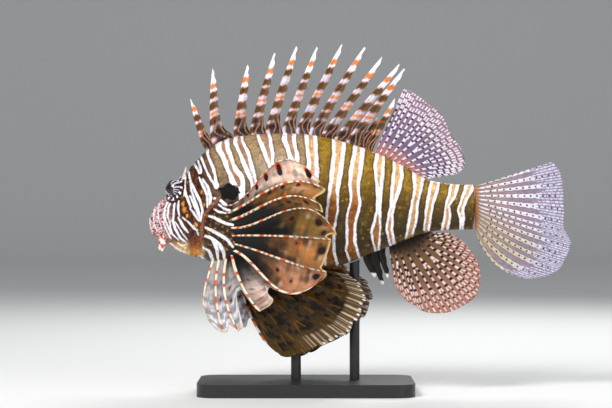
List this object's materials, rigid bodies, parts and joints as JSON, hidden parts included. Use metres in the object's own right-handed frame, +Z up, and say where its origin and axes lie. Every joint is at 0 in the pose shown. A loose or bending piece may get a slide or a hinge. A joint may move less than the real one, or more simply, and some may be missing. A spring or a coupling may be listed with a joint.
{
  "type": "lionfish display model",
  "caption": "Still life-size model of a red lionfish with spread banded fins and spines, on a plain display stand with short rods.",
  "frame": {"origin": "middle of the underside of the stand's base", "axes": "+X toward the tail, -Y out of the fish's left side, +Z up"},
  "size_m": [0.3019, 0.1168, 0.244],
  "materials": {
    "skin": "wet scaled skin, dark brown with pale upright bands",
    "eye": "clear wet gloss",
    "feeler": "soft wet skin",
    "spine": "banded skin over thin spines",
    "fin": "thin ribbed membrane, spotted and banded",
    "stand": "satin black"
  },
  "bodies": {
    "root": {"head": "skin", "lower_jaw": "skin", "gill_cover_left": "skin", "gill_cover_right": "skin", "trunk": "skin", "tail_stem": "skin", "eye_left": "eye", "eye_right": "eye", "brow_feeler_left": "feeler", "mouth_feeler_left": "feeler", "brow_feeler_right": "feeler", "mouth_feeler_right": "feeler", "dorsal_fin_spiny": "spine", "anal_fin_spiny": "spine", "dorsal_fin_soft": "fin", "anal_fin_soft": "fin", "caudal_fin": "fin", "pectoral_fin_left": "fin", "pelvic_fin_left": "fin", "pectoral_fin_right": "fin", "pelvic_fin_right": "fin", "stand_base": "stand", "stand_rod_front": "stand", "stand_rod_rear": "stand"}
  },
  "joints": []
}
